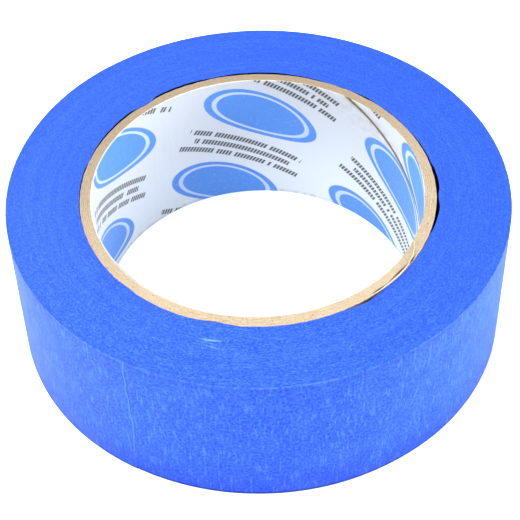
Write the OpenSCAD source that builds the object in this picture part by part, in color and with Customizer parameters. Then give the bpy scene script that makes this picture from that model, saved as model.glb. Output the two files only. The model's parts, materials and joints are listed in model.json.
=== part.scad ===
// Roll of blue crepe-paper masking tape on a spiral-wound cardboard core.
// The roll stands flat on z = 0 with its axis on Z. Angles are counterclockwise from +X, seen from above.

/* [Core] */
// Inside diameter of the core: the standard 3 inch bore
core_id = 76.2; // [74:0.1:82]
// Thickness of the white printed paper liner, the innermost ply
liner_t = 0.12; // [0.1:0.01:0.2]
// Thickness of each of the five kraft board plies
ply_t = 0.46; // [0.3:0.01:0.6]
// Winding angle of the ply strips, measured from square to the axis
wind_angle = 24.6; // [18:0.1:35]
// Gap left between neighbouring turns of a ply strip
seam_gap = 0.4; // [0.2:0.1:0.8]

/* [Tape] */
// Width of the tape, which is the height of the roll
tape_w = 38; // [18:1:50]
// Thickness of the tape, adhesive included
tape_t = 0.13; // [0.1:0.01:0.2]
// Number of turns under the outermost one
turns = 130; // [60:1:180]

/* [Free end] */
// Angle at which the tape's cut edge lies
tip_angle = 240; // [0:1:359]
// Length along the tape of the free end, from the line where it starts to lift to the cut edge
end_length = 24; // [10:1:40]
// Room left under the free end, so that it lifts clear of the turn below
end_gap = 0.03; // [0.02:0.01:0.05]

/* [Slack] */
// Angle of the middle of the void beside the tape's start, which the first turns bridge over
start_void_angle = -6; // [-180:1:180]
// Deepest point of that void, measured from the core
start_void_depth = 1; // [0.3:0.1:1.5]
// Radius of that void's outer wall, smaller than the core so that the void tapers to nothing
start_void_r = 35; // [33:0.5:36]
// Angle of the middle of the long thin void where the first turn stands off the core
back_void_angle = 118; // [-180:1:180]
// Deepest point of the thin void, measured from the core
back_void_depth = 0.5; // [0.2:0.1:0.8]
// Radius of the thin void's outer wall
back_void_r = 38.5; // [36.5:0.5:38.5]

/* [Hidden] */
$fn = 180;

kraft = "burlywood";
tape_blue = "royalblue";
paper_white = "aliceblue";

cut = 1;                                       // how far a cutter runs past what it cuts
core_r = core_id / 2;
ply_r = core_r + liner_t;                      // inside of the first board ply
hub_r = ply_r + 5 * ply_t;                     // outside of the core
pack_r = hub_r + turns * tape_t;               // outside of the wound tape, just past the cut edge
half_pitch = tape_t / 2;                       // a turn grows by this much in each half circle
end_angle = end_length / pack_r * 180 / PI;    // angle that the free end covers
seam_turn = tape_w / ((core_r + hub_r) / 2 * tan(wind_angle)) * 180 / PI;  // angle a seam goes round in the width

// Angle at which each seam reaches the top face: the liner's, then the board plies' from the inside out
seam_tops = [54.5, 172, 285, 95, 322, 214];

module tube(r_in, r_out) {
    difference() {
        cylinder(r = r_out, h = tape_w);
        translate([0, 0, -cut]) cylinder(r = r_in, h = tape_w + 2 * cut);
    }
}

// Helical slot through one ply, where neighbouring turns of its strip meet
module seam(r_in, thickness, top) {
    width = seam_gap / sin(wind_angle);
    overrun = cut / tape_w * seam_turn;
    rotate([0, 0, top - seam_turn - overrun])
        translate([0, 0, -cut])
            linear_extrude(tape_w + 2 * cut, twist = -seam_turn - 2 * overrun, slices = 48, $fn = 4)
                translate([r_in - cut, -width / 2]) square([thickness + 2 * cut, width]);
}

// One ply of the core: a strip wound as a helix, its turns side by side
module ply(r_in, thickness, top) {
    difference() {
        tube(r_in, r_in + thickness);
        seam(r_in, thickness, top);
    }
}

module core_liner() {
    color(paper_white) ply(core_r, liner_t, seam_tops[0]);
}

module board_ply(i) {
    color(kraft) ply(ply_r + (i - 1) * ply_t, ply_t, seam_tops[i]);
}

// Everything on one side of the XZ plane, out past the roll
module half_space(side) {
    reach = 2 * pack_r;
    translate([-reach, side > 0 ? 0 : -reach, -cut]) cube([2 * reach, reach, tape_w + 2 * cut]);
}

// Disc bounded by one turn of a spiral, which starts at radius r on +X and grows by one tape thickness
module spiral_disc(r, h = tape_w) {
    intersection() {
        cylinder(r = r, h = h);
        half_space(1);
    }
    intersection() {
        translate([half_pitch, 0, 0]) cylinder(r = r + half_pitch, h = h);
        half_space(-1);
    }
}

// Wedge of the roll that the free end covers, up to the cut edge on +X
module end_wedge() {
    reach = 2 * pack_r;
    translate([half_pitch, 0, -cut])
        linear_extrude(tape_w + 2 * cut)
            polygon([[0, 0], [reach * cos(end_angle), -reach * sin(end_angle)], [reach, 0]]);
}

// Cutter for a void between the core and the first turns, crescent-shaped once the core is in place
module slack(angle, depth, r) {
    rotate([0, 0, angle]) translate([hub_r + depth - r, 0, -cut]) cylinder(r = r, h = tape_w + 2 * cut);
}

// All turns but the outermost, with the voids beside the core
module wound_tape() {
    color(tape_blue) difference() {
        rotate([0, 0, tip_angle]) spiral_disc(pack_r);
        translate([0, 0, -cut]) cylinder(r = hub_r, h = tape_w + 2 * cut);
        slack(start_void_angle, start_void_depth, start_void_r);
        slack(back_void_angle, back_void_depth, back_void_r);
    }
}

// The outermost turn, up to the line where the free end starts to lift
module outer_turn() {
    color(tape_blue) rotate([0, 0, tip_angle]) difference() {
        spiral_disc(pack_r + tape_t);
        translate([0, 0, -cut]) spiral_disc(pack_r, tape_w + 2 * cut);
        end_wedge();
    }
}

// The last stretch of the tape, which peels away from the turn below
module free_end() {
    color(tape_blue) rotate([0, 0, tip_angle]) intersection() {
        translate([half_pitch, 0, 0]) tube(pack_r + half_pitch + end_gap, pack_r + half_pitch + tape_t);
        end_wedge();
    }
}

core_liner();
board_ply(1);  // core_ply_1
board_ply(2);  // core_ply_2
board_ply(3);  // core_ply_3
board_ply(4);  // core_ply_4
board_ply(5);  // core_ply_5
wound_tape();
outer_turn();
free_end();
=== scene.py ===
"""Looks of a roll of blue crepe-paper masking tape on a spiral-wound cardboard core.

Metres, +Z up. The roll lies flat on z = 0 with its axis on Z.
Angles are in degrees, counterclockwise from +X, seen from above.
"""
import json
import math

import bmesh
import bpy
import numpy as np
from mathutils import Matrix, Vector


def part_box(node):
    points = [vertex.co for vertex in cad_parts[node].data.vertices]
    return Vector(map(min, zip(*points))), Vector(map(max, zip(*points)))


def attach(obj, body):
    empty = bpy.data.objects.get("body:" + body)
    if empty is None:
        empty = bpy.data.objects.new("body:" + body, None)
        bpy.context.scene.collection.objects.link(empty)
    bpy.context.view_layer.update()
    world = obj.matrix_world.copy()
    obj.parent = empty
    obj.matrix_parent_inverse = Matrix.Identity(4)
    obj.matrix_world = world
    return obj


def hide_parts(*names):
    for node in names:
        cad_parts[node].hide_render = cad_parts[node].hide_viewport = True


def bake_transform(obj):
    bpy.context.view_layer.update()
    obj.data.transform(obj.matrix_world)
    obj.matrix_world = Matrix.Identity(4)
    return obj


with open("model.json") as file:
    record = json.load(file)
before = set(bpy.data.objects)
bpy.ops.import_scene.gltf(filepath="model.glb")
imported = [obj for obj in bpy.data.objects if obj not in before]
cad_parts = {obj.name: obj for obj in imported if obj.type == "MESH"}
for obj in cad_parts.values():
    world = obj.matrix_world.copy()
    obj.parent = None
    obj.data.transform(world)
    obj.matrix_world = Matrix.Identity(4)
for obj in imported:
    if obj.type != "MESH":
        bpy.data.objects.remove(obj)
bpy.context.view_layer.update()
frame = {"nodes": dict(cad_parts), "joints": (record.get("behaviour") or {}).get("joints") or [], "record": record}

MM = 0.001
TURN = 2 * math.pi
SHARP = math.radians(45)    # edges sharper than this aren't shaded smooth

# ---------------------------------------------------------------- sizes, from the frame


def corner_radii(node):
    """Smallest and largest distance from the roll's axis among a CAD node's corners."""
    corners = np.array([v.co for v in frame["nodes"][node].data.vertices])
    reach = np.hypot(corners[:, 0], corners[:, 1])
    return reach.min(), reach.max()


def around(point):
    """Angle of a point round the roll's axis, in degrees from 0 to 360."""
    return math.degrees(math.atan2(point[1], point[0])) % 360


PLIES = [f"core_ply_{i}" for i in range(1, 6)]
BORE_R = frame["record"]["mounts"][0]["dims"]["r_mm"] * MM
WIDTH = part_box("wound_tape")[1].z
PLY_R = corner_radii(PLIES[0])[0]
HUB_R = corner_radii(PLIES[-1])[1]
PLY_T = (HUB_R - PLY_R) / len(PLIES)
PACK_R = min(corner_radii("outer_turn"))
TAPE_T = (corner_radii("outer_turn")[1] - PACK_R) / 2
HINGE = Vector(frame["joints"][0]["pos_m"])
HINGE_ANGLE = around(HINGE)
TIP_ANGLE = max(around(v.co) for v in frame["nodes"]["free_end"].data.vertices)
WIND_ANGLE = math.radians(24.6)    # as in the CAD source: the frame doesn't give it

# ---------------------------------------------------------------- noise and meshes


def smooth(t):
    return t * t * (3 - 2 * t)


def step(x, start, end):
    """Smooth ramp from 0 at start to 1 at end."""
    return smooth(np.clip((x - start) / (end - start), 0, 1))


def noise(u, v, seed, round_u=0):
    """Value noise from -1 to 1 with cells one unit wide.

    It repeats every round_u cells along u, if that is given.
    """
    table = np.random.default_rng(seed).uniform(-1, 1, (257, 257))
    u, v = np.broadcast_arrays(np.asarray(u, float), np.asarray(v, float))
    iu, iv = np.floor(u).astype(int), np.floor(v).astype(int)
    fu, fv = smooth(u - iu), smooth(v - iv)
    span = round_u or 257

    def corner(a, b):
        return table[(iu + a) % span % 257, (iv + b) % 257]

    low = corner(0, 0) * (1 - fu) + corner(1, 0) * fu
    high = corner(0, 1) * (1 - fu) + corner(1, 1) * fu
    return low * (1 - fv) + high * fv


def gap_to(angle, centre):
    """Signed difference between angles, in degrees, from -180 to 180."""
    return (np.asarray(angle) - centre + 180) % 360 - 180


def bump_at(angle, centre, half_width):
    """1 at the centre angle, falling smoothly to 0 at half_width either side."""
    return 1 - step(np.abs(gap_to(angle, centre)), 0, half_width)


def polar(radius, angle, height):
    """Points at that radius, angle in degrees and height, as an array with a last axis of three."""
    radius, angle, height = np.broadcast_arrays(radius, angle, height)
    turn = np.radians(angle)
    return np.stack([radius * np.cos(turn), radius * np.sin(turn), height], -1)


def three(*values):
    """Three arrays as one with a last axis of three."""
    return np.stack(np.broadcast_arrays(*values), -1)


def ring_faces(rows, cols, closed):
    """Quads of a grid of points, numbered row by row. closed joins the last row to the first."""
    i = np.arange(rows if closed else rows - 1)[:, None]
    j = np.arange(cols)[None, :]
    k, n = (i + 1) % rows, (j + 1) % cols
    quads = np.stack(np.broadcast_arrays(i * cols + j, k * cols + j, k * cols + n, i * cols + n), -1)
    return quads.reshape(-1, 4)


def lofted(name, sections, closed=True, attributes=None):
    """A solid through sections, an array of (sections, points round each section, 3).

    The sections are loops. closed joins the last section to the first. Otherwise both ends are capped, and
    each section's points pair up across it: the first with the last, and so on.
    """
    rows, cols = sections.shape[:2]
    faces = ring_faces(rows, cols, closed)
    if not closed:
        j = np.arange(cols // 2 - 1)
        cap = np.stack([j, j + 1, cols - 2 - j, cols - 1 - j], -1)
        faces = np.concatenate([faces, cap, cap[:, ::-1] + (rows - 1) * cols])
    mesh = bpy.data.meshes.new(name)
    mesh.from_pydata(sections.reshape(-1, 3).tolist(), [], faces.tolist())
    for key, values in (attributes or {}).items():
        layer = mesh.attributes.new(key, "FLOAT_VECTOR", "POINT")
        layer.data.foreach_set("vector", np.asarray(values, np.float32).reshape(-1))
    shape = bmesh.new()
    shape.from_mesh(mesh)
    bmesh.ops.recalc_face_normals(shape, faces=shape.faces)
    shape.to_mesh(mesh)
    shape.free()
    mesh.polygons.foreach_set("use_smooth", np.ones(len(mesh.polygons), bool))
    mesh.set_sharp_from_angle(angle=SHARP)
    mesh.update()
    piece = bpy.data.objects.new(name, mesh)
    bpy.context.scene.collection.objects.link(piece)
    return piece


# ---------------------------------------------------------------- shader helper

PAPER_IOR = 1.45


class Shader:
    """One material, and short ways to add nodes to it.

    A value is a number, a colour or another node's output.
    """

    def __init__(self, name, roughness, specular=0.5):
        self.material = bpy.data.materials.new(name)
        self.material.use_nodes = True
        self.tree = self.material.node_tree
        self.surface = self.tree.nodes["Principled BSDF"]
        self.surface.inputs["Roughness"].default_value = roughness
        self.surface.inputs["Specular IOR Level"].default_value = specular
        self.surface.inputs["IOR"].default_value = PAPER_IOR

    def feed(self, socket, value):
        if isinstance(value, bpy.types.NodeSocket):
            self.tree.links.new(value, socket)
        else:
            socket.default_value = value

    def node(self, kind, inputs=(), **settings):
        made = self.tree.nodes.new("ShaderNode" + kind)
        for key, value in settings.items():
            setattr(made, key, value)
        for key, value in dict(inputs).items():
            self.feed(made.inputs[key], value)
        return made

    def math(self, operation, *values):
        made = self.node("Math", operation=operation)
        for socket, value in zip(made.inputs, values):
            self.feed(socket, value)
        return made.outputs[0]

    def attribute(self, name):
        return self.node("Attribute", attribute_name=name).outputs["Vector"]

    def parts(self, vector):
        return self.node("SeparateXYZ", {0: vector}).outputs

    def stretched(self, vector, scales):
        """The vector with each part multiplied by its own number."""
        made = self.node("VectorMath", operation="MULTIPLY")
        self.feed(made.inputs[0], vector)
        self.feed(made.inputs[1], scales)
        return made.outputs[0]

    def noise(self, vector, scale=1.0, detail=2.0, roughness=0.5):
        """Noise from 0 to 1. scale is cells per unit of the vector, as one number or one for each part."""
        if isinstance(scale, tuple):
            vector = self.stretched(vector, scale)
            scale = 1.0
        inputs = {"Vector": vector, "Scale": scale, "Detail": detail, "Roughness": roughness}
        return self.node("TexNoise", inputs).outputs["Fac"]

    def ramp(self, value, low, high, to_low=0.0, to_high=1.0):
        """Smooth ramp from to_low, where the value is low, to to_high, where it is high."""
        made = self.node("MapRange", interpolation_type="SMOOTHSTEP")
        for socket, number in zip(made.inputs, (value, low, high, to_low, to_high)):
            self.feed(socket, number)
        return made.outputs[0]

    def mix(self, factor, below, above):
        """The colour below where the factor is 0, and the one above where it is 1."""
        made = self.node("Mix", data_type="RGBA")
        self.feed(made.inputs[0], factor)
        self.feed(made.inputs[6], (*below, 1) if isinstance(below, tuple) else below)
        self.feed(made.inputs[7], (*above, 1) if isinstance(above, tuple) else above)
        return made.outputs[2]

    def tint(self, colour, amount, share, tone):
        """The colour moved that share of the way to a tone, where the amount is 1."""
        return self.mix(self.math("MULTIPLY", amount, share), colour, tone)

    def bump(self, height, depth, normal=None):
        """A normal from a height of 0 to 1, which stands for that depth in metres."""
        made = self.node("Bump", {"Height": height, "Distance": depth})
        if normal:
            self.feed(made.inputs["Normal"], normal)
        return made.outputs[0]

    def finish(self, colour, normal=None, roughness=None):
        self.feed(self.surface.inputs["Base Color"], colour)
        if normal:
            self.feed(self.surface.inputs["Normal"], normal)
        if roughness:
            self.feed(self.surface.inputs["Roughness"], roughness)
        return self.material


# ---------------------------------------------------------------- materials

# Colours, in linear light
EDGE_BLUE = (0.018, 0.070, 0.52)
EDGE_DEEP = (0.001, 0.026, 0.38)
FACE_BLUE = (0.022, 0.124, 0.78)
FACE_DEEP = (0.0003, 0.026, 0.48)
TAPE_PALE = (0.10, 0.25, 0.80)
TAPE_FLOOR_SHADE = (0.001, 0.012, 0.17)
TAPE_SHADE = (0.001, 0.0025, 0.012)
FILM_BLUE = (0.035, 0.13, 0.64)
FILM_PALE = (0.08, 0.21, 0.70)
KRAFT = (0.265, 0.204, 0.131)
KRAFT_PALE = (0.336, 0.276, 0.190)
KRAFT_BACK_SHADE = (0.125, 0.092, 0.058)
KRAFT_DARK = (0.145, 0.09, 0.05)
GLUE_AND_SHADE = (0.12, 0.10, 0.075)
TORN_PALE = (0.48, 0.41, 0.31)
LINER_WHITE = (0.53, 0.57, 0.615)
LINER_UPPER_SHADE = (0.435, 0.465, 0.505)
LINER_STAIN = (0.30, 0.27, 0.23)
PRINT_BLUE = (0.056, 0.19, 0.55)
PRINT_PALE = (0.50, 0.56, 0.62)
PRINT_BLACK = (0.022, 0.022, 0.026)


def crepe_paper():
    """Face of the tape.

    The attribute strip holds millimetres along the tape, millimetres across it, and a number for the layer.
    The attribute wear_and_painted_light holds where a cut edge shows pale, partly pale fibres and partly a painted
    highlight, and where the face lies in the gap round the core, which is painted in shade.
    """
    s = Shader("crepe_paper", roughness=0.5, specular=0.15)
    strip = s.attribute("strip")
    along, across, layer = s.parts(strip)
    pale, dark, _ = s.parts(s.attribute("wear_and_painted_light"))
    wander = s.noise(strip, (0.15, 0.12, 1), detail=1)
    wavy = s.math("MULTIPLY_ADD", wander, 2, along)
    tilted = s.node("CombineXYZ", {0: wavy, 1: across, 2: layer}).outputs[0]
    streak = s.ramp(s.noise(tilted, (1.7, 0.24, 1), detail=2), 0.5, 0.74)
    patchy = s.ramp(s.noise(strip, (0.3, 0.16, 1), detail=1), 0.3, 0.5)
    streak = s.math("MULTIPLY", streak, patchy)
    crinkle = s.noise(strip, (1.5, 1.3, 1), detail=4, roughness=0.7)
    pits = s.ramp(s.noise(strip, (1.6, 3.4, 1), detail=2), 0.5, 0.72)
    cloud = s.noise(strip, (0.22, 0.14, 1), detail=2)
    grain = s.noise(strip, scale=9, detail=2)
    # Painted highlight along the top rim, in patches.
    rim_patches = s.ramp(s.noise(strip, (0.8, 0.8, 1), detail=3, roughness=0.7), 0.4, 0.6, 0.02, 0.34)
    wide = WIDTH / MM
    rim = s.math("MULTIPLY", s.ramp(across, wide - 1.0, wide), rim_patches)
    # Painted shade: a darker band just under the top rim, and darker towards the bottom of the side.
    under_rim = s.math("MULTIPLY", s.ramp(across, wide - 2.2, wide - 0.8), patchy)
    shaded = s.math("MAXIMUM", under_rim, s.ramp(across, 12, 0))
    # Painted shade: the side darkens just above its lower edge, where the tape meets the floor.
    floor_edge_shade = s.ramp(across, LIFTED + 0.8, LIFTED + 0.1)
    colour = s.mix(s.ramp(crinkle, 0.35, 0.65), FACE_DEEP, FACE_BLUE)
    colour = s.tint(colour, pits, 0.6, FACE_DEEP)
    colour = s.tint(colour, shaded, 0.4, FACE_DEEP)
    colour = s.tint(colour, s.ramp(cloud, 0.4, 0.75), 0.1, TAPE_PALE)
    colour = s.tint(colour, streak, 0.38, TAPE_PALE)
    # Pale cut edge, partly the paper's pale fibres and partly a painted highlight, and the painted rim highlight.
    colour = s.mix(s.math("MAXIMUM", s.math("MULTIPLY", pale, 0.65), rim), colour, TAPE_PALE)
    colour = s.tint(colour, floor_edge_shade, 0.9, TAPE_FLOOR_SHADE)
    # Painted shade where the face lies in the narrow gap round the core.
    colour = s.mix(dark, colour, TAPE_SHADE)
    normal = s.bump(grain, 0.02 * MM)
    normal = s.bump(crinkle, 0.16 * MM, normal)
    normal = s.bump(streak, 0.05 * MM, normal)
    return s.finish(colour, normal, s.ramp(crinkle, 0.3, 0.7, 0.45, 0.6))


def tape_edges():
    """Side of the roll, where each turn's cut edge shows.

    The attribute turns holds a seamless place round the roll, in cells 1.4 mm long, and the radius in
    millimetres. The attribute wear holds where the edges are scuffed and, third, how rough they are.
    """
    s = Shader("tape_edges", roughness=0.6, specular=0.15)
    turns = s.attribute("turns")
    wear_and_painted_light, _, rough = s.parts(s.attribute("wear_and_painted_light"))
    lines = s.noise(turns, (0.45, 0.45, 3.4), detail=3, roughness=0.65)
    grain = s.noise(turns, (2.3, 2.3, 3.0), detail=3, roughness=0.65)
    fleck = s.ramp(s.noise(turns, (2.8, 2.8, 3.6), detail=1), 0.54, 0.74)
    bundles = s.noise(turns, (0.02, 0.02, 0.8), detail=2)
    scratch = s.noise(turns, (0.22, 0.22, 2.4), detail=1)
    scratch = s.math("MULTIPLY", s.ramp(scratch, 0.56, 0.64), wear_and_painted_light)
    even = tuple((a + b) / 2 for a, b in zip(EDGE_DEEP, EDGE_BLUE))
    colour = s.mix(s.ramp(grain, 0.32, 0.68), EDGE_DEEP, EDGE_BLUE)
    colour = s.tint(colour, fleck, 0.25, TAPE_PALE)
    colour = s.mix(rough, even, colour)
    colour = s.tint(colour, s.ramp(lines, 0.52, 0.76), s.math("MULTIPLY", rough, 0.22), TAPE_PALE)
    colour = s.tint(colour, s.ramp(bundles, 0.45, 0.7), 0.03, TAPE_PALE)
    colour = s.tint(colour, scratch, 0.65, TAPE_PALE)
    normal = s.bump(grain, 0.1 * MM)
    normal = s.bump(s.math("MULTIPLY", lines, rough), 0.06 * MM, normal)
    return s.finish(colour, normal, s.ramp(grain, 0.3, 0.7, 0.5, 0.68))


def adhesive_film():
    """Inner face of the tape: the crepe shows through a thin, slightly tacky film."""
    s = Shader("adhesive_film", roughness=0.32)
    strip = s.attribute("strip")
    crinkle = s.noise(strip, (2.2, 0.6, 1), detail=3, roughness=0.6)
    blotch = s.noise(strip, scale=0.5, detail=3)
    colour = s.mix(s.ramp(crinkle, 0.3, 0.7), FACE_BLUE, FILM_BLUE)
    colour = s.tint(colour, s.ramp(blotch, 0.4, 0.7), 0.4, FILM_PALE)
    return s.finish(colour, s.bump(crinkle, 0.1 * MM), s.ramp(blotch, 0.3, 0.7, 0.28, 0.42))


def kraft_board():
    """Raw kraft paper, with fibres that show at its cut edges, and painted shade that browns it towards the back
    of the roll.

    It reads the place itself, so all plies match.
    """
    s = Shader("kraft_board", roughness=0.85, specular=0.3)
    place = s.node("TexCoord").outputs["Object"]
    fibre = s.noise(place, scale=1900, detail=4, roughness=0.68)
    mottle = s.noise(place, scale=420, detail=3)
    tone = s.noise(place, scale=60, detail=2)
    specks = s.noise(place, scale=1150, detail=1)
    x, y, _ = s.parts(place)
    backwards = s.math("MULTIPLY_ADD", x, -0.36, y)    # 20 degrees counterclockwise of +Y
    colour = s.mix(s.ramp(fibre, 0.34, 0.66), KRAFT, KRAFT_PALE)
    colour = s.tint(colour, s.ramp(mottle, 0.35, 0.7), 0.5, KRAFT)
    colour = s.tint(colour, s.ramp(tone, 0.4, 0.7), 0.35, KRAFT_PALE)
    colour = s.tint(colour, s.ramp(specks, 0.70, 0.76), 0.7, KRAFT_DARK)
    # Painted shade: the kraft darkens towards the back of the roll.
    colour = s.tint(colour, s.ramp(backwards, -42 * MM, 42 * MM), 0.58, KRAFT_BACK_SHADE)
    normal = s.bump(fibre, 0.09 * MM)
    return s.finish(colour, s.bump(mottle, 0.12 * MM, normal))


def glued_and_shaded_board():
    """Kraft darkened by glue stain and by painted shade: it shows along the liner's seam and in the narrow gap
    round the core.
    """
    s = Shader("glued_and_shaded_board", roughness=0.6, specular=0.3)
    place = s.node("TexCoord").outputs["Object"]
    fibre = s.noise(place, scale=1900, detail=4, roughness=0.68)
    stain = s.noise(place, scale=300, detail=3)
    colour = s.mix(s.ramp(stain, 0.3, 0.7), GLUE_AND_SHADE, KRAFT_DARK)
    colour = s.tint(colour, s.ramp(fibre, 0.4, 0.7), 0.35, KRAFT)
    return s.finish(colour, s.bump(fibre, 0.08 * MM))


def torn_fibre():
    """Paler inside of a kraft ply, where it has torn."""
    s = Shader("torn_fibre", roughness=0.9, specular=0.2)
    place = s.node("TexCoord").outputs["Object"]
    fibre = s.noise(place, scale=3200, detail=3, roughness=0.7)
    colour = s.mix(s.ramp(fibre, 0.3, 0.7), KRAFT_PALE, TORN_PALE)
    return s.finish(colour, s.bump(fibre, 0.08 * MM))


def inside(s, x, y, half_x, half_y, soft):
    """1 inside a box about the origin, 0 outside, with an edge that is soft millimetres wide."""
    across = s.ramp(s.math("ABSOLUTE", x), half_x + soft / 2, half_x - soft / 2)
    up = s.ramp(s.math("ABSOLUTE", y), half_y + soft / 2, half_y - soft / 2)
    return s.math("MULTIPLY", across, up)


def cell_hash(s, cells, row):
    """A random number from 0 to 1 for each cell of a row."""
    vector = s.node("CombineXYZ", {0: s.math("FLOOR", cells), 1: row}).outputs[0]
    return s.node("TexWhiteNoise", {"Vector": vector}, noise_dimensions="2D").outputs["Value"]


def ticks(s, x, y, half_length, row):
    """A row of plain leaning ticks in place of a line of small print, with a few left out."""
    leaning = s.math("MULTIPLY_ADD", y, -0.2, x)
    cells = s.math("DIVIDE", leaning, TICK_PITCH)
    within = s.math("MULTIPLY", s.math("SUBTRACT", s.math("FRACT", cells), 0.5), TICK_PITCH)
    tick = inside(s, within, y, TICK_PITCH * 0.36, TICK_HEIGHT / 2, 0.25)
    kept = s.math("GREATER_THAN", cell_hash(s, cells, row), 0.1)
    ends = s.math("LESS_THAN", s.math("ABSOLUTE", x), half_length)
    return s.math("MULTIPLY", tick, s.math("MULTIPLY", kept, ends))


def printed_liner():
    """White liner with a plain print: ovals with a pale line inside, and rows of dark ticks between them.

    The attribute print holds columns along the strip, rows across it, and 1 on the printed face. The
    attribute strip holds millimetres round the bore, millimetres up it, and how stained it is.
    """
    s = Shader("printed_liner", roughness=0.5, specular=0.4)
    along, across, printed = s.parts(s.attribute("print"))
    column = s.math("ROUND", along)
    x = s.math("MULTIPLY", s.math("SUBTRACT", along, column), PRINT_COLUMN / MM)
    dropped = s.math("MULTIPLY_ADD", s.math("MODULO", s.math("ABSOLUTE", column), 2), 0.5, across)
    y = s.math("MULTIPLY", s.math("SUBTRACT", dropped, s.math("ROUND", dropped)), PRINT_ROW / MM)
    between = s.math("ADD", dropped, 0.5)
    line_y = s.math("MULTIPLY", s.math("SUBTRACT", between, s.math("ROUND", between)), PRINT_ROW / MM)
    row = s.math("ADD", s.math("MULTIPLY", column, 7), s.math("ROUND", between))

    reach = s.math("ADD", s.math("POWER", s.math("DIVIDE", x, OVAL[0]), 2),
                   s.math("POWER", s.math("DIVIDE", y, OVAL[1]), 2))
    oval = s.math("MULTIPLY", s.ramp(reach, 1.03, 0.97), printed)

    line_inner, line_outer = OVAL_LINE
    past_inner = s.ramp(reach, line_inner - 0.02, line_inner + 0.02)
    pale = s.math("MULTIPLY", past_inner, s.ramp(reach, line_outer + 0.02, line_outer - 0.02))

    dark = 0.0
    for number, half_length in enumerate(LINE_HALVES):
        off_line = s.math("SUBTRACT", line_y, (1 - number) * LINE_STEP)
        line = ticks(s, x, off_line, half_length, s.math("ADD", row, number))
        dark = s.math("MAXIMUM", dark, line)
    dark = s.math("MULTIPLY", dark, printed)

    paper = s.attribute("strip")
    _, up, dirt = s.parts(paper)
    tooth = s.noise(paper, scale=5, detail=3, roughness=0.6)
    glue = s.noise(paper, (0.35, 0.12, 1), detail=3)
    ink = s.ramp(s.noise(paper, scale=1.2, detail=2), 0.2, 0.5, 0.88, 1.0)
    smudge = s.ramp(s.noise(paper, (0.5, 0.5, 0), detail=4, roughness=0.7), 0.38, 0.66, 0.05, 0.75)
    # Painted shade: the liner greys towards the top of the bore.
    colour = s.mix(s.ramp(up, 6, 36), LINER_WHITE, LINER_UPPER_SHADE)
    colour = s.tint(colour, s.ramp(tooth, 0.7, 0.3), 0.12, LINER_STAIN)
    colour = s.tint(colour, dirt, smudge, LINER_STAIN)
    colour = s.tint(colour, oval, ink, PRINT_BLUE)
    colour = s.tint(colour, s.math("MULTIPLY", pale, oval), 0.7, PRINT_PALE)
    colour = s.tint(colour, dark, 0.92, PRINT_BLACK)
    colour = s.mix(printed, KRAFT_PALE, colour)
    normal = s.bump(tooth, 0.008 * MM)
    return s.finish(colour, s.bump(glue, 0.12 * MM, normal))


def pale_floor():
    s = Shader("pale_floor", roughness=0.7, specular=0.3)
    place = s.node("TexCoord").outputs["Object"]
    tone = s.noise(place, scale=3, detail=2)
    colour = s.mix(s.ramp(tone, 0.3, 0.7), (0.86, 0.88, 0.90), (0.88, 0.90, 0.92))
    return s.finish(colour)


# ---------------------------------------------------------------- the print, along and across the strip

PRINT_COLUMN = 41.07 * MM
PRINT_ROW = 24.7 * MM
PRINT_START = (88.3, 27.14 * MM)         # angle and height of the middle of one oval
PRINT_CREEP = (-3.6 * MM, 200, 330)      # how far the print creeps along the strip, between these angles
# The rest is in millimetres
OVAL = (15.45, 6.6)                      # half length and half height
OVAL_LINE = (0.60, 0.74)                 # edges of the line in it: 0 at its middle, 1 at its outline
LINE_HALVES = (15.6, 13.3, 16.8)         # half lengths of the dark rows
LINE_STEP = 2.6                          # from one dark row to the next
TICK_HEIGHT = 1.5
TICK_PITCH = 0.85

# ---------------------------------------------------------------- outlines of the core and the tape

# How far the core's outside stands out at its top edge: mean, swing, and the angle where it stands out most
CORE_LEAN = (0.25 * MM, 0.20 * MM, 250)
BORE_LEAN = (0.14 * MM, 0.20 * MM, 165)    # the same for the kraft's inside
DENTS = ((256, 9, 0.55), (131, 5, 0.35), (225, 5, 0.15))    # angle, half width, and millimetres inwards
# Gap between the core and the first turn: angle, and millimetres
SLACK = (
    (-16, 0.6), (-10, 0.85), (-4.5, 0.4), (0, 0.85), (7, 0.72), (11, 0.35), (22, 0.25), (28, 0.08),
    (43, 0.05), (49, 0.35), (54, 0.1), (64, 0.12), (76, 0.4), (84, 0.6), (97, 0.55), (104, 0.3),
    (114, 0.65), (126, 0.6), (129, 0.05), (134, 0.1), (138, 0.5), (148, 0.4), (160, 0.25), (164, 0.05),
    (169, 0.28), (186, 0.15), (200, 0.06), (212, 0.02), (249, 0.0), (254, 0.14), (259, 0.02), (292, 0.02),
    (299, 0.3), (303.5, 0.7), (308, 0.35), (312, 0.08), (320, 0.1), (336, 0.15),
)
# Slits between board plies: ply inside it, angle, half width, millimetres open, and millimetres outwards
SLITS = ((4, 309.3, 4, 0.45, -0.02), (4, 318.5, 7, 0.42, -0.2), (4, 325, 4, 0.42, 0.1))


def slack_at(angle):
    """Gap between the core and the first turn, by smooth steps between the points of SLACK."""
    keys = [a for a, _ in SLACK] + [SLACK[0][0] + 360]
    gaps = [g for _, g in SLACK] + [SLACK[0][1]]
    turn = (np.asarray(angle, float) - keys[0]) % 360 + keys[0]
    place = np.clip(np.searchsorted(keys, turn, "right") - 1, 0, len(SLACK) - 1)
    keys, gaps = np.array(keys, float), np.array(gaps)
    part = smooth((turn - keys[place]) / (keys[place + 1] - keys[place]))
    return (gaps[place] * (1 - part) + gaps[place + 1] * part) * MM


def lean_at(angle, lean):
    mean, swing, most = lean
    return mean + swing * np.cos(np.radians(angle - most))


def dent_at(angle):
    return sum(depth * MM * bump_at(angle, centre, half) for centre, half, depth in DENTS)


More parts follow.
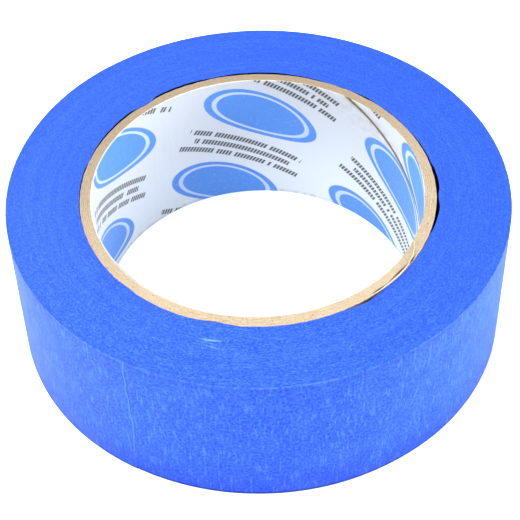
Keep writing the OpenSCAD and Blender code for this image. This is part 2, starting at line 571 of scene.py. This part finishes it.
def core_outside(angle):
    """Radius of the core's outside at its top edge."""
    ragged = 0.05 * MM * noise(np.asarray(angle) / 1.5, 0, 11, 240)
    return HUB_R + lean_at(angle, CORE_LEAN) - dent_at(angle) + ragged


def kraft_inside(angle):
    """Radius of the kraft's inside at its top edge, where the liner's cut edge shows beside it."""
    ragged = 0.06 * MM * noise(np.asarray(angle) / 1.5, 0, 12, 240)
    return PLY_R + lean_at(angle, BORE_LEAN) + ragged


def near_top(height, reach=2.5 * MM):
    """1 at the roll's top face, falling to 0 at that depth below it."""
    return step(height, WIDTH - reach, WIDTH - 0.2 * MM)


# ---------------------------------------------------------------- the core

SEAM_TOPS = (54.5, 172, 285, 95, 322, 214)    # where the liner's and the plies' seams reach the top face
LINER_SEAM = 1.0 * MM                         # gap at the liner's seam
BOARD_SEAM = 0.08 * MM                        # gap at a board ply's seam
STRIP_COLUMNS = 480                           # sections round a ply
# Strand of a torn ply: angle, share of the way from the kraft's inside to its outside, and millimetres up
STRAND = ((300, 0.97, 0.0), (304, 0.93, 0.10), (310, 0.97, 0.16), (317, 0.98, 0.16), (322.5, 0.90, 0.2),
          (326.5, 0.72, 0.2), (330, 0.45, 0.16), (332.5, 0.18, 0.08), (333.5, 0.05, 0.0))
STRAND_SECTIONS = 90


def seam_angle(top, radius, height):
    """Angle of a helical seam at that height."""
    return top - np.degrees((WIDTH - height) / (radius * math.tan(WIND_ANGLE)))


def wound_strip(name, inner, outer, top, gap, heights, columns, attributes=None):
    """One ply: a strip wound as a helix, from one side of its seam round to the other.

    inner and outer give the ply's radii from angles and heights. Each attribute's third value is kept on
    the inner face and is 0 on the outer one.
    """
    middle = (inner(0, 0) + outer(0, 0)) / 2
    half_gap = math.degrees(gap / 2 / math.sin(WIND_ANGLE) / middle)
    start = seam_angle(top, middle, heights)[None, :] + half_gap
    angle = start + np.linspace(0, 360 - 2 * half_gap, columns)[:, None]
    height = np.broadcast_to(heights, angle.shape)
    inside_points = polar(inner(angle, height), angle, height)
    outside_points = polar(outer(angle, height), angle, height)
    sections = np.concatenate([inside_points, outside_points[:, ::-1]], 1)
    extra = {}
    for key, make in (attributes or {}).items():
        values = make(angle, height)
        extra[key] = np.concatenate([values, values[:, ::-1] * (1, 1, 0)], 1)
    return lofted(name, sections, closed=False, attributes=extra)


def rim_heights(steps):
    """Heights up the roll's width, close together near its two faces."""
    fine = np.array([0, 0.05, 0.4, 1.2]) * MM
    return np.concatenate([fine, np.linspace(2.4 * MM, WIDTH - 2.4 * MM, steps), WIDTH - fine[::-1]])


def cut_ends(height, depth=0.05 * MM):
    """How far a ply's faces draw in at its two cut ends."""
    edge = np.minimum(height, WIDTH - height)
    return depth * (1 - np.clip(edge / (0.05 * MM), 0, 1))


def ply_border(border, angle, height):
    """Radius of the border outside that ply, without any slit. Border 0 is the inside of the kraft."""
    share = border / len(PLIES)
    top = kraft_inside(angle) * (1 - share) + core_outside(angle) * share
    for ply, centre, half, _, out in SLITS:
        if ply == border:
            top += out * MM * bump_at(angle, centre, half)
    plain = PLY_R + border * PLY_T
    return plain + (top - plain) * near_top(height, 4 * MM)


def slit_at(border, angle, height):
    """How far the plies either side of a border have come apart."""
    opened = 0 * angle
    for ply, centre, half, width, _ in SLITS:
        if ply == border:
            opened += width * MM * bump_at(angle, centre, half)
    return opened * near_top(height, 6 * MM)


def board_ply(number, material):
    """Kraft ply, counted from 1 at the inside. Its top and bottom edges are a little ragged."""
    def inner(angle, height):
        slit = slit_at(number - 1, angle, height)
        return ply_border(number - 1, angle, height) + slit / 2 + cut_ends(height)

    def outer(angle, height):
        slit = slit_at(number, angle, height)
        return ply_border(number, angle, height) - slit / 2 - cut_ends(height)

    name = f"board_ply_{number}"
    ply = wound_strip(name, inner, outer, SEAM_TOPS[number], BOARD_SEAM, rim_heights(20), STRIP_COLUMNS)
    points = np.array([v.co for v in ply.data.vertices])
    turn = np.degrees(np.arctan2(points[:, 1], points[:, 0])) % 360
    height = points[:, 2]
    ragged = 0.05 * MM * noise(turn / 2.4, number, 20 + number, 150)
    ragged += 0.03 * MM * noise(turn / 0.8, number, 40 + number, 450)
    height += ragged * (step(height, WIDTH - 1 * MM, WIDTH) - 0.5 * step(height, 1 * MM, 0))
    points[:, 2] = np.maximum(height, 0)
    ply.data.vertices.foreach_set("co", points.reshape(-1))
    dress(ply, material, "root", "core_board", f"core_ply_{number}")
    # The first ply's inside, seen through the liner's seam, and the last ply's outside, seen in the gap round the
    # core, take the glue stain and painted shade.
    if number == 1:
        second_material(ply, lambda outwards, up: outwards < -0.7)
    elif number == len(PLIES):
        second_material(ply, lambda outwards, up: outwards > 0.7)


def print_place(angle, height):
    """Columns along the strip and rows across it, counted from one oval's middle."""
    x = BORE_R * np.radians(PRINT_START[0] - angle)
    y = height - PRINT_START[1]
    creep, first, last = PRINT_CREEP
    along = x * math.cos(WIND_ANGLE) - y * math.sin(WIND_ANGLE) - creep * step(angle, first, last)
    across = x * math.sin(WIND_ANGLE) + y * math.cos(WIND_ANGLE)
    return three(along / PRINT_COLUMN, across / PRINT_ROW, 1.0)


def flat_place(angle, height):
    """Millimetres round the bore, millimetres up it, and how stained it is."""
    beside = (angle - seam_angle(SEAM_TOPS[0], BORE_R, height)) % 360
    seam_dirt = bump_at(beside, 0, 12) * step(height, WIDTH - 20 * MM, WIDTH - 8 * MM)
    haze = 0.5 * (1 - step(beside, 4, 36)) * step(height, 4 * MM, WIDTH - 8 * MM)
    edge_dirt = step(height, 0.9 * MM, 0.3 * MM) + 0.9 * step(height, WIDTH - 0.45 * MM, WIDTH - 0.2 * MM)
    dirt = np.maximum(np.maximum(seam_dirt, haze), edge_dirt)
    return three(BORE_R * np.radians(angle) / MM, height / MM, dirt)


def core_liner(material):
    """White inner ply. Its cut top edge curls out a little over the kraft."""
    def ripple(angle, height):
        kept = step(height, 0, 4 * MM) * step(height, WIDTH, WIDTH - 4 * MM)
        return 0.04 * MM * noise(angle / 9, height / (9 * MM), 5) * kept

    def inner(angle, height):
        return BORE_R + 0.02 * MM + ripple(angle, height) + cut_ends(height, 0.04 * MM)

    def outer(angle, height):
        curl = (kraft_inside(angle) - PLY_R + 0.03 * MM) * near_top(height, 1.2 * MM)
        return PLY_R - 0.01 * MM + ripple(angle, height) + curl - cut_ends(height, 0.03 * MM)

    attributes = {"print": print_place, "strip": flat_place}
    liner = wound_strip("printed_liner", inner, outer, SEAM_TOPS[0], LINER_SEAM, rim_heights(44),
                        STRIP_COLUMNS, attributes)
    return dress(liner, material, "root", "liner_paper", "core_liner")


def torn_strand(material):
    """Strand of a torn ply that lies across the core's top edge, from its outside to its inside."""
    angles, shares, heights = (np.array(column) for column in zip(*STRAND))
    t = np.linspace(0, len(STRAND) - 1, STRAND_SECTIONS)
    low = np.clip(np.floor(t).astype(int), 0, len(STRAND) - 2)
    part = smooth(t - low)
    share, height = (values[low] * (1 - part) + values[low + 1] * part for values in (shares, heights))
    angle = np.interp(t, np.arange(len(STRAND)), angles)
    radius = kraft_inside(angle) * (1 - share) + core_outside(angle) * share
    thick = 0.16 * MM * (0.5 + 0.5 * np.sin(np.pi * np.linspace(0, 1, STRAND_SECTIONS)))
    thick *= 1 + 0.25 * noise(t * 4, 0, 31)
    rounds = np.linspace(0, TURN, 8, endpoint=False)
    side = thick[:, None] * np.cos(rounds)
    rise = thick[:, None] * np.sin(rounds) * 1.2
    sections = polar(radius[:, None] + side, angle[:, None], WIDTH + height[:, None] * MM + rise)
    strand = lofted("torn_strand", sections, closed=False)
    return dress(strand, material, "root", "core_board")


# ---------------------------------------------------------------- the tape

HINGE_TURN = (HINGE_ANGLE - TIP_ANGLE) % 360    # degrees past the cut edge where the free end starts
END_OVERLAP = 3                                 # degrees of the free end's piece that stay on the roll
END_ROOM = 0.03 * MM                            # room under the free end
WRINKLE = 0.06 * MM                             # height of the tallest wrinkles
LIFTED = 0.3                                    # millimetres by which the outermost turns clear the floor
CELL = 1.4                                      # length in millimetres of a cell of the attribute turns
MEAN_R = 49                                     # radius in millimetres at which a cell has that length
FACE_RINGS = 46                                 # rings of points across each face of the roll
BOTTOM_SHIFT = 77                               # degrees between the relief of the top and the bottom
UNDER_ROOM = 0.015 * MM                         # room under the outermost turn
SCUFF = (256.5, 4.5, 46 * MM)                   # the top face's scuff: angle, half width, and radius
ROUGH_SIDE = (262, 100)                         # middle and half width of the roll's rougher side


def out_of_round(angle):
    """How far the outermost turns stand out from their spiral."""
    return 0.12 * MM * np.cos(np.radians(2 * (angle + 10))) + 0.06 * MM * noise(angle / 20, 0, 3, 18)


def under_turn(turn):
    """Radius of the underside of the outermost turn, at degrees past the cut edge."""
    return PACK_R + TAPE_T * turn / 360 + out_of_round(TIP_ANGLE + turn)


def tape_length(turn):
    """Millimetres along the outermost turn, at degrees past the cut edge."""
    return np.radians(turn) * (PACK_R + TAPE_T) / MM


def crepe(along, across, layer):
    """Height of the wrinkles, from 0 to 1, at millimetres along the tape and across it."""
    tilted = along + 0.6 * noise(along / 9, across / 12, 50 + layer)
    folds = noise(tilted / 1.15, across / 6.5, 60 + layer)
    ridge = np.clip(1 - np.abs(folds) / 0.35, 0, 1) ** 2
    patch = step(noise(along / 3.2, across / 8, 70 + layer), -0.35, 0.6)
    fine = 0.5 + 0.5 * noise(tilted / 0.6, across / 2.2, 80 + layer)
    return 0.6 * ridge * patch + 0.4 * fine


def cut_edge(across):
    """How far the cut edge wanders along the tape, in millimetres."""
    coarse = 0.45 * noise(across / 8, 0, 91) + 0.24 * noise(across / 2.2, 0, 92)
    return coarse + 0.06 * noise(across / 0.6, 0, 93)


def tape_strip(name, start, end, room, edge=False):
    """Stretch of the outermost turn between two angles past the cut edge, with wrinkles on its outer face.

    edge makes its end the tape's cut edge, a little ragged and worn thin.
    """
    wide = WIDTH / MM
    middle = np.linspace(1.2, wide - 1.2, 29)
    across = np.concatenate([[LIFTED, LIFTED + 0.15], middle, [wide - 0.15, wide]])[None, :]
    long = tape_length(end - start)
    close = 1 - np.arange(6, -1, -1) / 10 / long    # sections 0.1 mm apart towards the end
    share = np.concatenate([np.linspace(0, 1 - 0.8 / long, int(long * 4)), close])[:, None]
    last = end + (np.degrees(cut_edge(across) * MM / PACK_R) if edge else 0 * across)
    turn = start + share * (last - start)
    along = tape_length(turn)
    to_edge = tape_length(last - turn) if edge else 10 * wide
    worn = 0.6 * TAPE_T * step(to_edge, 0.45, 0.0) if edge else 0
    height = np.broadcast_to(across * MM, turn.shape)
    wrinkle = WRINKLE * crepe(along, across, 0)
    inner = under_turn(turn) + room
    outer = under_turn(turn) + TAPE_T + wrinkle - worn
    angle = TIP_ANGLE + turn
    sections = np.concatenate([polar(inner, angle, height), polar(outer, angle, height)[:, ::-1]], 1)
    # Pale cut edge: partly pale fibres, partly a painted highlight where the edge catches light.
    at_edge = step(to_edge, 0.35, 0.15) * (0.35 + 0.65 * step(across, 4, 16)) if edge else 0 * turn
    attributes = {"strip": three(along, across, 0.0), "wear_and_painted_light": three(at_edge, 0.0, 0.0)}
    both = {key: np.concatenate([v, v[:, ::-1]], 1) for key, v in attributes.items()}
    return lofted(name, sections, closed=False, attributes=both)


def scuffed(angle, radius):
    """Where the roll's top edge is scuffed, from 0 to 1."""
    centre, half, at_radius = SCUFF
    beside = bump_at(angle, centre, half)
    return beside * (1 - step(np.abs(radius - at_radius), 0.5 * MM, 3 * MM))


def roughened(angle):
    """How rough the roll's faces are, from 0 to 1: most on the side of the cut edge."""
    return 0.5 + 0.5 * bump_at(angle, *ROUGH_SIDE)


def edge_relief(angle, radius):
    """Height of the turns' edges about the roll's face: turns stand proud or back in bundles."""
    bundles = 0.030 * MM * noise(radius / (0.45 * MM), 0, 101) * roughened(angle) ** 2
    waves = 0.045 * MM * noise(angle / 15, radius / (2.6 * MM), 102, 24) * roughened(angle)
    grain = 0.016 * MM * noise(angle / 1.5, radius / (0.5 * MM), 103, 240)
    return bundles + waves + grain


def wound_turns(face, side):
    """All turns under the outermost one, with the relief of their edges on both faces of the roll."""
    turn = np.concatenate([[0.005], np.arange(0.5, 360, 0.5), [359.995]])[:, None]
    angle = TIP_ANGLE + turn
    wide = WIDTH / MM
    rise = np.concatenate([[0, 0.3, 1.2], np.linspace(3, wide - 3, 7), wide - np.array([1.2, 0.3, 0])])
    heights = rise[None, :] * MM
    inner = HUB_R + slack_at(angle) + (core_outside(angle) - HUB_R) * near_top(heights)
    outer = under_turn(turn) - UNDER_ROOM
    share = np.linspace(0, 1, FACE_RINGS)[None, 1:-1]
    top_r = inner[:, -1:] * (1 - share) + outer * share
    low_r = inner[:, :1] * (1 - share) + outer * share
    top_z = WIDTH + edge_relief(angle, top_r) - 0.12 * MM * scuffed(angle, top_r)
    low_z = np.maximum(edge_relief(angle + BOTTOM_SHIFT, low_r), 0)
    low_z = low_z + LIFTED * MM * step(low_r, outer - 1.5 * MM, outer)
    wall = np.broadcast_to(heights, inner.shape)
    outer_r = np.broadcast_to(outer, wall.shape)
    radius = np.concatenate([inner, top_r, outer_r[:, ::-1], low_r[:, ::-1]], 1)
    height = np.concatenate([wall, top_z, wall[:, ::-1], low_z[:, ::-1]], 1)
    seamless = np.radians(angle)
    turns = three(np.cos(seamless) * MEAN_R / CELL, np.sin(seamless) * MEAN_R / CELL, radius / MM)
    piece = lofted("wound_turns", polar(radius, angle, height), attributes={
        "turns": turns,
        "strip": three(tape_length(turn), height / MM, 5.0),
        # Scuffs; painted shade on the inner wall, in the gap round the core; roughness.
        "wear_and_painted_light": three(scuffed(angle, radius), radius < HUB_R + 1.5 * MM, roughened(angle)),
    })
    dress(piece, (face, side), "root", "crepe_tape", "wound_tape")
    second_material(piece, lambda outwards, up: np.abs(up) < 0.7)


# ---------------------------------------------------------------- dressing and assembly


def dress(piece, materials, body, slot, *nodes):
    """Gives a piece its materials and body, and hides the CAD nodes that it stands for. The slot is not used."""
    for material in materials if isinstance(materials, tuple) else (materials,):
        piece.data.materials.append(material)
    if nodes:
        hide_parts(*nodes)
    if body:
        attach(piece, body)
    return piece


def second_material(piece, chosen):
    """Gives a piece's second material to the faces that chosen picks.

    chosen gets how far the faces' normals point away from the axis, and how far they point up.
    """
    faces = piece.data.polygons
    normals, centres = np.zeros((2, len(faces) * 3))
    faces.foreach_get("normal", normals)
    faces.foreach_get("center", centres)
    normals, centres = normals.reshape(-1, 3), centres.reshape(-1, 3)
    outwards = (normals[:, :2] * centres[:, :2]).sum(1) / np.hypot(centres[:, 0], centres[:, 1])
    faces.foreach_set("material_index", chosen(outwards, normals[:, 2]).astype(np.int32))


def build_core():
    kraft, glued_and_shaded = kraft_board(), glued_and_shaded_board()
    for number in range(1, len(PLIES) + 1):
        board_ply(number, (kraft, glued_and_shaded) if number in (1, len(PLIES)) else kraft)
    torn_strand(torn_fibre())
    core_liner(printed_liner())


def build_tape():
    face, crepe_face = tape_edges(), crepe_paper()
    wound_turns(face, crepe_face)
    root_end = HINGE_TURN - END_OVERLAP
    outer = tape_strip("outer_turn_strip", 0, root_end, 0.0)
    dress(outer, crepe_face, "root", "crepe_tape", "outer_turn")
    free = tape_strip("free_end_strip", root_end, 360, END_ROOM, edge=True)
    dress(free, (crepe_face, adhesive_film()), None, "crepe_tape", "free_end")
    second_material(free, lambda outwards, up: outwards < -0.5)
    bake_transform(free)


# ---------------------------------------------------------------- studio

LENS = 108.6            # millimetres, on a sensor 36 mm wide
CAMERA_DISTANCE = 0.3874
CAMERA_HEIGHT = 48.78   # degrees above the horizon
CAMERA_LIFT = 1.44      # degrees that it aims above the origin
CAMERA_ROLL = 1.457


def place_camera():
    rise = math.radians(CAMERA_HEIGHT)
    tilt = math.radians(CAMERA_HEIGHT - CAMERA_LIFT)
    roll = math.radians(CAMERA_ROLL)
    right = Vector((1, 0, 0))
    up = Vector((0, math.sin(tilt), math.cos(tilt)))
    back = right.cross(up)
    turned_right = right * math.cos(roll) - up * math.sin(roll)
    turned_up = right * math.sin(roll) + up * math.cos(roll)
    data = bpy.data.cameras.new("camera")
    data.lens = LENS
    data.sensor_width = 36
    camera = bpy.data.objects.new("camera", data)
    axes = Matrix((turned_right, turned_up, back)).transposed().to_4x4()
    camera.matrix_world = Matrix.Translation(
        CAMERA_DISTANCE * Vector((0, -math.cos(rise), math.sin(rise)))) @ axes
    bpy.context.scene.collection.objects.link(camera)
    bpy.context.scene.camera = camera


LAMPS = (
    # name, place, diameter, power in watts
    ("above", (0, 0, 0.9), 0.5, 2.1),
    ("above back", (0, 0.4, 0.8), 0.5, 2.8),
    ("near front", (-0.06, -0.14, 0.3), 0.2, 0.85),
    ("near left", (-0.3, -0.12, 0.3), 0.2, 1.05),
    ("right", (0.68, 0, 0.26), 0.5, 9.6),
    ("left", (-0.7, 0, 0.22), 0.5, 1.8),
    ("back left", (-0.55, 0.5, 0.35), 0.5, 6.2),
)
LAMP_AIM = Vector((0, 0, 0.02))


def area_light(name, place, size, power):
    data = bpy.data.lights.new(name, "AREA")
    data.shape = "DISK"
    data.size = size
    data.energy = power
    light = bpy.data.objects.new(name, data)
    light.location = place
    light.rotation_euler = (LAMP_AIM - Vector(place)).to_track_quat("-Z", "Y").to_euler()
    bpy.context.scene.collection.objects.link(light)


def studio():
    mesh = bpy.data.meshes.new("floor")
    side = 4
    corners = [(-side, -side, 0), (side, -side, 0), (side, side, 0), (-side, side, 0)]
    mesh.from_pydata(corners, [], [(0, 1, 2, 3)])
    floor = bpy.data.objects.new("floor", mesh)
    floor.location.z = -0.02 * MM
    floor.data.materials.append(pale_floor())
    bpy.context.scene.collection.objects.link(floor)

    world = bpy.data.worlds.new("studio")
    world.use_nodes = True
    background = world.node_tree.nodes["Background"]
    background.inputs["Color"].default_value = (0.98, 0.99, 1, 1)
    background.inputs["Strength"].default_value = 0.6
    bpy.context.scene.world = world
    for lamp in LAMPS:
        area_light(*lamp)
    bpy.context.scene.view_settings.view_transform = "Standard"


place_camera()
build_core()
build_tape()
studio()
